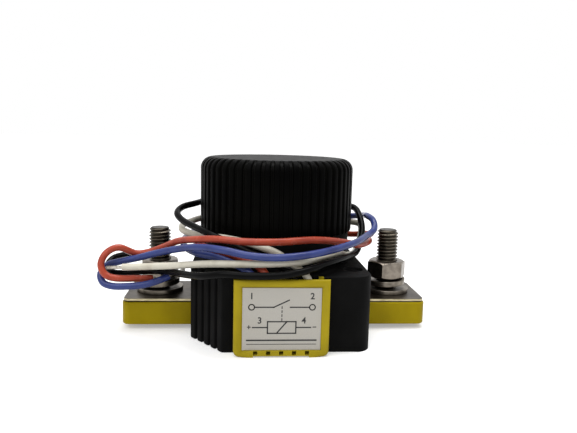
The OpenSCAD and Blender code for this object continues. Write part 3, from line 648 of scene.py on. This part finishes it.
def finish_piece(name, bm, material, node=None, smooth=40, weighted=False, body="housing"):
    """Makes the mesh a piece of a body, in place of its solid where it has one."""
    mesh = bpy.data.meshes.new(name)
    bm.to_mesh(mesh)
    bm.free()
    mesh.shade_smooth()
    mesh.set_sharp_from_angle(angle=math.radians(smooth))
    mesh.materials.append(material)
    piece = bpy.data.objects.new(name, mesh)
    scene.collection.objects.link(piece)
    if weighted:
        modifier = piece.modifiers.new("even_normals", "WEIGHTED_NORMAL")
        modifier.keep_sharp = True
        modifier.weight = 100
    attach(piece, body)
    if node:
        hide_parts(node)
    return piece


def merged_solid(node):
    """A copy of a solid with its triangles joined into the flat faces that they make up."""
    bm = bmesh.new()
    bm.from_mesh(frame["nodes"][node].data)
    bmesh.ops.remove_doubles(bm, verts=bm.verts, dist=SOLID_WELD * MM)
    bmesh.ops.dissolve_limit(bm, angle_limit=math.radians(FLAT), verts=bm.verts, edges=bm.edges)
    return bm


def sharp_edges(bm, degrees, chosen=None):
    """The edges that turn by more than this and whose two ends are chosen."""
    return [
        e for e in bm.edges
        if e.is_manifold
        and e.calc_face_angle(0) > math.radians(degrees)
        and (chosen is None or all(chosen(v.co / MM) for v in e.verts))
    ]


def bevel_edges(bm, edges, width_mm, segments):
    """Cuts edges back by a width, in one flat or a round of several segments."""
    bmesh.ops.bevel(bm, geom=edges, offset=width_mm * MM, offset_type="OFFSET", segments=segments,
                    profile=0.5, affect="EDGES", clamp_overlap=False, material=-1)


def ease_edges(bm, width_mm, segments, chosen=None):
    """Rounds the sharp edges whose two ends are chosen."""
    bevel_edges(bm, sharp_edges(bm, SHARP, chosen), width_mm, segments)
    bmesh.ops.dissolve_degenerate(bm, dist=SLIVER * MM, edges=bm.edges)


def wind_wire(bm, start, radius, sides, rise, angle, steps):
    """A round wire from a starting place, wound about Z as it rises, with both ends closed."""
    end = bmesh.ops.create_circle(bm, segments=sides, radius=radius, cap_ends=True, matrix=start)
    faces = list({f for v in end["verts"] for f in v.link_faces})
    rim = [e for f in faces for e in f.edges]
    bmesh.ops.spin(bm, geom=end["verts"] + rim + faces, cent=(0, 0, 0), axis=(0, 0, 1),
                   dvec=(0, 0, rise / steps), angle=angle, steps=steps, use_duplicate=False)


# Leads


def lead_curve(name, route, material):
    """A round lead along a smooth line through its route."""
    curve = bpy.data.curves.new(name, "CURVE")
    curve.dimensions = "3D"
    curve.bevel_depth = LEAD_D / 2 * MM
    curve.bevel_resolution = 6
    curve.use_fill_caps = True
    points = [Vector(p) * MM for p in route]
    last = len(points) - 1
    spline = curve.splines.new("BEZIER")
    spline.resolution_u = 12
    spline.bezier_points.add(last)
    # Handles of a sixth of the step between a point's neighbours make the line smooth through all points
    for i, knot in enumerate(spline.bezier_points):
        reach = (points[min(i + 1, last)] - points[max(i - 1, 0)]) / 6
        knot.co = points[i]
        knot.handle_left_type = "FREE"
        knot.handle_right_type = "FREE"
        knot.handle_left = points[i] - reach
        knot.handle_right = points[i] + reach
    curve.materials.append(material)
    lead = bpy.data.objects.new(name, curve)
    scene.collection.objects.link(lead)
    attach(lead, "housing")
    return lead


def stranded_tip(name, route, node):
    """Bare wire that goes on from the lead's end: six strands twisted round a straight one."""
    bm = bmesh.new()
    for k in range(STRANDS_ROUND + 1):
        out = 0 if k == 0 else 2 * STRAND_R * MM
        place = Matrix.Rotation(k * math.tau / STRANDS_ROUND, 4, "Z") @ Matrix.Translation((out, 0, 0))
        wind_wire(bm, place, STRAND_R * MM, STRAND_SIDES, rise=TIP_LENGTH * MM,
                  angle=math.radians(STRAND_TWIST), steps=STRAND_STEPS)
    bmesh.ops.recalc_face_normals(bm, faces=bm.faces)
    end = Vector(route[-1]) * MM
    along = (end - Vector(route[-2]) * MM).to_track_quat("Z", "Y").to_matrix().to_4x4()
    bmesh.ops.transform(bm, matrix=Matrix.Translation(end) @ along, verts=bm.verts)
    return finish_piece(name, bm, PLAIN["wire_tin"], node)


for colour, (route, length) in LEADS.items():
    tip = stranded_tip(colour + "_strands", route, colour + "_tip")
    lead = lead_curve(colour + "_flying_lead", route, INSULATION[colour])
    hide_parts(colour + "_lead")


# Cap


def groove_share(angle):
    """How far into a groove this angle lies, from 0 on a rib to 1 in the groove."""
    turn = (angle + math.pi / 2) * CAP_RIBS / math.tau
    from_groove = abs(turn - round(turn))
    t = (GROOVE_HALF + GROOVE_EASE - from_groove) / (2 * GROOVE_EASE)
    t = min(max(t, 0), 1)
    return t * t * (3 - 2 * t)


def cap_moulding():
    """The ribbed cap: a turned cup whose side and rounded edge are then pressed in between the ribs."""
    low, high = (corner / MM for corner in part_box("top_cap"))
    radius, foot, top = high.x, low.z, high.z
    arc_r, arc_z = radius - CAP_ROUND, top - CAP_ROUND
    bore, lap = radius - CAP_WALL, radius - LAP_WALL
    side_drop = foot + CAP_FOOT_LIP - arc_z
    turns = [math.radians(90 / CAP_ARC_STEPS * k) for k in range(CAP_ARC_STEPS + 1)]
    outline = [(0, top), (arc_r / 2, top), (arc_r - CAP_TOP_MARGIN, top)]
    outline += [(arc_r + CAP_ROUND * math.sin(a), arc_z + CAP_ROUND * math.cos(a)) for a in turns]
    outline += [(radius, arc_z + side_drop * k / CAP_SIDE_RINGS) for k in range(1, CAP_SIDE_RINGS + 1)]
    outline += [(radius - CAP_FOOT_EASE, foot + CAP_FOOT_EASE), (radius - CAP_FOOT_RIM, foot)]
    outline += [(lap, foot), (lap, foot + LAP_HEIGHT), (bore, foot + LAP_HEIGHT), (bore, top - CAP_LID)]
    outline += [(0, top - CAP_LID)]
    bm = bmesh.new()
    verts = [bm.verts.new((x * MM, 0, z * MM)) for x, z in outline]
    edges = [bm.edges.new(pair) for pair in zip(verts, verts[1:])]
    bmesh.ops.spin(bm, geom=verts + edges, cent=(0, 0, 0), axis=(0, 0, 1), angle=math.tau,
                   steps=CAP_RIBS * RIB_STEPS, use_merge=True, use_duplicate=False)
    bmesh.ops.remove_doubles(bm, verts=bm.verts, dist=TURNED_WELD * MM)
    bmesh.ops.recalc_face_normals(bm, faces=bm.faces)
    for v in bm.verts:
        x, y, z = v.co / MM
        out = math.hypot(x, y)
        on_top = out < arc_r + NEAR
        inside = out < lap + BESIDE and z < top - CAP_LID + BESIDE
        if on_top or inside:
            continue
        depth = RIB_DEPTH * groove_share(math.atan2(y, x))
        rise = math.atan2(max(z - arc_z, 0), out - arc_r)
        depth *= min(1, (math.pi / 2 - rise) / math.radians(RIB_RUN_OUT))
        scale = (out - depth * math.cos(rise)) / out
        v.co = Vector((x * scale, y * scale, z - depth * math.sin(rise))) * MM
    return finish_piece("cap_moulding", bm, cap_black, "top_cap", smooth=50)


cap_moulding()


# Base, header and label cover


def at_hole(p):
    """True round a mounting hole: one at the front right, its twin at the back left."""
    x, y = HOLE_AT
    return min(math.hypot(p.x - s * x, p.y - s * y) for s in (1, -1)) < RECESS_D / 2 + BESIDE


def base_moulding():
    """The base with its outer edges eased, and the rims of its holes a little."""
    side, front = (abs(v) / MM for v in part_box("base_housing")[0].xy)
    cut = Vector((-CUT_Y, -CUT_X)).normalized()
    cut_from = Vector((CUT_X - side, -front))
    bm = merged_solid("base_housing")

    def on_skin(p):
        if p.z > DECK_Z + NECK_CLEAR or at_hole(p):
            return False
        reach = max((Vector((s * p.x, s * p.y)) - cut_from).dot(cut) for s in (1, -1))
        on_side = abs(p.x) > side - CLOSE or abs(p.y) > front - CLOSE
        return p.z > DECK_Z - DECK_BAND or on_side or reach > -CUT_BAND

    ease_edges(bm, BASE_EASE, segments=3, chosen=on_skin)
    ease_edges(bm, HOLE_EASE, segments=1, chosen=lambda p: at_hole(p) and p.z > DECK_Z - DECK_BAND)
    return finish_piece("base_moulding", bm, black_moulding, "base_housing", weighted=True)


def header_moulding():
    """The yellow header with soft edges on both wings."""
    bm = merged_solid("terminal_header")
    ease_edges(bm, WING_EASE, segments=3, chosen=lambda p: abs(p.y) > WING_SIDE or abs(p.x) > WING_END)
    return finish_piece("header_moulding", bm, shaded_header_yellow, "terminal_header", weighted=True)


def label_frame():
    """The yellow label cover: a well rounded rim outside, and a window whose sides slope in."""
    low, high = (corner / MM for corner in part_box("label_cover"))
    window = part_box("label_plate")[1] / MM
    bm = merged_solid("label_cover")

    def on_rim(p):
        corner = abs(p.x) > high.x - RIM_CORNER and p.z < RIM_CORNER
        outside = abs(p.x) > high.x - CLOSE or p.z > window.z + RIM_TOP_GAP
        return p.y < low.y + NEAR and (corner or outside)

    def on_window(p):
        beside = abs(abs(p.x) - window.x) < WINDOW_BAND and WINDOW_FOOT < p.z < window.z + WINDOW_BAND
        above = abs(p.z - window.z) < WINDOW_BAND and abs(p.x) < window.x + WINDOW_BAND
        return p.y < low.y + NEAR and (beside or above)

    ease_edges(bm, RIM_ROUND, segments=5, chosen=on_rim)
    sills = [
        e for e in sharp_edges(bm, SILL_SHARP, on_window)
        if (e.verts[0].co.z + e.verts[1].co.z) / 2 / MM > SILL_FOOT
    ]
    bevel_edges(bm, sills, WINDOW_SLOPE, segments=1)
    return finish_piece("label_frame", bm, yellow_moulding, "label_cover", weighted=True)


base_moulding()
header_moulding()
label_frame()


# Label print


def add_stroke(bm, start, end, width=STROKE):
    """A printed line from one place on the label to another, as x and height."""
    start, end = Vector(start), Vector(end)
    run = end - start
    middle = (start + end) / 2
    place = (
        Matrix.Translation((middle.x * MM, 0, middle.y * MM))
        @ Matrix.Rotation(-math.atan2(run.y, run.x), 4, "Y")
        @ Matrix.Diagonal(((run.length + width) * MM, PRINT_PROUD * MM, width * MM, 1))
    )
    bmesh.ops.create_cube(bm, size=1, matrix=place)


def add_ring(bm, at, radius):
    """A printed ring on the label."""
    turns = [math.tau * k / RING_SIDES for k in range(RING_SIDES + 1)]
    points = [(at[0] + radius * math.cos(a), at[1] + radius * math.sin(a)) for a in turns]
    for start, end in zip(points, points[1:]):
        add_stroke(bm, start, end, STROKE * RING_WEIGHT)


def add_mark(bm, text, at, height):
    """Printed characters, with their middle at this place on the label."""
    curve = bpy.data.curves.new("mark", "FONT")
    curve.body = text
    curve.size = height * MM / CAPITAL_SHARE
    curve.align_x = "CENTER"
    curve.align_y = "CENTER"
    curve.extrude = PRINT_PROUD / 2 * MM
    curve.offset = MARK_BOLD * MM
    holder = bpy.data.objects.new("mark", curve)
    scene.collection.objects.link(holder)
    mesh = bpy.data.meshes.new_from_object(holder.evaluated_get(bpy.context.evaluated_depsgraph_get()))
    bpy.data.objects.remove(holder)
    bpy.data.curves.remove(curve)
    place = Matrix.Translation((at[0] * MM, 0, at[1] * MM)) @ Matrix.Rotation(math.pi / 2, 4, "X")
    mesh.transform(place)
    bm.from_mesh(mesh)
    bpy.data.meshes.remove(mesh)


def label_print():
    """Plain marks on the label: an open contact between two terminals, and the coil that works it."""
    face_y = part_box("label_plate")[0].y
    bm = bmesh.new()
    gap, reach = CONTACT_REACH
    coil_foot, coil_top = COIL_ROW - COIL_HALF_H, COIL_ROW + COIL_HALF_H
    for s in (-1, 1):
        add_ring(bm, (s * TERMINAL_X, CONTACT_ROW), TERMINAL_R)
        add_stroke(bm, (s * gap, CONTACT_ROW), (s * reach, CONTACT_ROW))
        add_stroke(bm, (s * COIL_HALF_W, coil_foot), (s * COIL_HALF_W, coil_top))
        add_stroke(bm, (s * COIL_HALF_W, COIL_ROW), (s * COIL_REACH, COIL_ROW))
    add_stroke(bm, (-gap, CONTACT_ROW), BLADE_TIP)
    for k in range(DASHES):
        dash_z = DASH_TOP - DASH_STEP * k
        add_stroke(bm, (0, dash_z), (0, dash_z - DASH_LENGTH), STROKE * DASH_WEIGHT)
    for z in (coil_foot, coil_top):
        add_stroke(bm, (-COIL_HALF_W, z), (COIL_HALF_W, z))
    add_stroke(bm, (-COIL_SLASH, coil_foot), (COIL_SLASH, coil_top))
    for number, place in NUMBERS.items():
        add_mark(bm, str(number), place, NUMBER_HEIGHT)
    for sign, x in (("+", -SIGN_X), ("−", SIGN_X)):
        add_mark(bm, sign, (x, COIL_ROW), SIGN_HEIGHT)
    for z, weight in RULES:
        add_stroke(bm, (-RULE_HALF, z), (RULE_HALF, z), STROKE * weight)
    bmesh.ops.translate(bm, verts=bm.verts, vec=(0, face_y - PRINT_PROUD / 2 * MM, 0))
    return finish_piece("label_print", bm, PLAIN["label_ink"])


label_print()


# Terminal hardware


def eased_piece(name, node, material, width):
    """A solid of the hardware with all its sharp edges broken."""
    bm = merged_solid(node)
    ease_edges(bm, width, segments=2)
    piece = finish_piece(name, bm, material, node, weighted=True)


def threaded_stud(side):
    """A stud with its real thread, a chamfered end, and the head that the header holds."""
    node = side + "_stud"
    low, high = (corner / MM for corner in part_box(node))
    middle = (low + high) / 2
    head_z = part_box("terminal_header")[0].z / MM + HEAD_SEAT
    start_z = head_z - THREAD_RUN_IN
    bm = bmesh.new()
    verts = [bm.verts.new((r * MM, 0, (start_z + z * THREAD_PITCH) * MM)) for r, z in THREAD_FORM]
    edges = [bm.edges.new(pair) for pair in zip(verts, verts[1:])]
    turns = math.ceil((high.z - start_z) / THREAD_PITCH) + 1
    bmesh.ops.spin(bm, geom=verts + edges, cent=(0, 0, 0), axis=(0, 0, 1),
                   dvec=(0, 0, THREAD_PITCH * MM / THREAD_STEPS), angle=turns * math.tau,
                   steps=turns * THREAD_STEPS, use_duplicate=False)
    bmesh.ops.remove_doubles(bm, verts=bm.verts, dist=THREAD_WELD * MM)
    for level, up in ((high.z, 1), (head_z - THREAD_SUNK, -1)):
        cut = bmesh.ops.bisect_plane(bm, geom=bm.verts[:] + bm.edges[:] + bm.faces[:], dist=CUT_WELD * MM,
                                     plane_co=(0, 0, level * MM), plane_no=(0, 0, up), clear_outer=True)
        rim = [e for e in cut["geom_cut"] if isinstance(e, bmesh.types.BMEdge)]
        bmesh.ops.edgeloop_fill(bm, edges=rim)
    for v in bm.verts:
        r = math.hypot(v.co.x, v.co.y) / MM
        limit = STUD_R - STUD_CHAMFER + (high.z - v.co.z / MM)
        if r > limit:
            v.co.x *= limit / r
            v.co.y *= limit / r
    head = bmesh.ops.create_circle(bm, segments=6, radius=HEAD_AF / 2 / math.cos(math.pi / 6) * MM,
                                   cap_ends=True, matrix=Matrix.Translation((0, 0, low.z * MM)))
    faces = list({f for v in head["verts"] for f in v.link_faces})
    raised = bmesh.ops.extrude_face_region(bm, geom=faces)
    lifted = [g for g in raised["geom"] if isinstance(g, bmesh.types.BMVert)]
    bmesh.ops.translate(bm, verts=lifted, vec=(0, 0, (head_z - low.z) * MM))
    bmesh.ops.translate(bm, verts=bm.verts, vec=(middle.x * MM, middle.y * MM, 0))
    bmesh.ops.recalc_face_normals(bm, faces=bm.faces)
    piece = finish_piece(side + "_threaded_stud", bm, stud_steel, node, smooth=32)


# What lies on each wing: piece, solid, finish, width of its eased edges and slot
WING_PIECES = (
    ("_plate_tinned", "_terminal_plate", terminal_tin, 0.14, "terminal_metal"),
    ("_washer_flat", "_flat_washer", washer_steel, 0.22, "steel"),
    ("_washer_split", "_lock_washer", washer_steel, 0.24, "steel"),
    ("_nut_hex", "_nut", nut_steel, 0.16, "steel"),
)
for side in ("left", "right"):
    threaded_stud(side)
    for name, node, material, width, slot in WING_PIECES:
        eased_piece(side + name, side + node, material, width)


# Springs


def coil_spring(node):
    """A wire spring wound from the foot to the top of its solid."""
    body, coil_r, wire_r, turns = SPRINGS[node]
    foot, top = (corner.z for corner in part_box(node))
    rise = top - foot - 2 * wire_r * MM
    bm = bmesh.new()
    start = Matrix.Translation((coil_r * MM, 0, foot + wire_r * MM)) @ Matrix.Rotation(math.pi / 2, 4, "X")
    wind_wire(bm, start, wire_r * MM, SPRING_SIDES, rise, angle=turns * math.tau,
              steps=turns * SPRING_STEPS)
    bmesh.ops.recalc_face_normals(bm, faces=bm.faces)
    piece = finish_piece(node + "_coil", bm, PLAIN["spring_wire"], node, body=body)
    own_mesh(piece)


for joint in frame["record"]["behaviour"]["joints"]:
    for spring in joint["deforming_nodes"]:
        coil_spring(spring["node"])


# Finishes of the solids that show as they are

SOLID_FINISHES = {
    black_moulding: ["bottom_cover", "auxiliary_switch"],
    foil: ["label_plate"],
    PLAIN["cast_potting"]: ["lead_potting"],
    PLAIN["contact_alloy"]: ["left_fixed_contact", "right_fixed_contact", "left_bridge_contact",
                             "right_bridge_contact"],
    PLAIN["bridge_copper"]: ["moving_bridge"],
    PLAIN["chamber_ceramic"]: ["arc_chamber"],
    PLAIN["sintered_magnet"]: ["front_magnet", "rear_magnet"],
    PLAIN["plated_iron"]: ["yoke_plate", "yoke_cup", "fixed_core", "plunger", "plunger_shaft", "spring_seat",
                           "bridge_clip"],
    PLAIN["bobbin_plastic"]: ["coil_bobbin"],
    wound_copper(): ["coil_winding"],
    PLAIN["drawn_brass"]: ["guide_sleeve"],
    PLAIN["stop_rubber"]: ["stop_pad"],
    PLAIN["solder_mask"]: ["control_board"],
    PLAIN["component_plastic"]: ["board_components"],
}
for material, names in SOLID_FINISHES.items():
    for name in names:
        mesh = frame["nodes"][name].data
        mesh.materials.clear()
        mesh.materials.append(material)
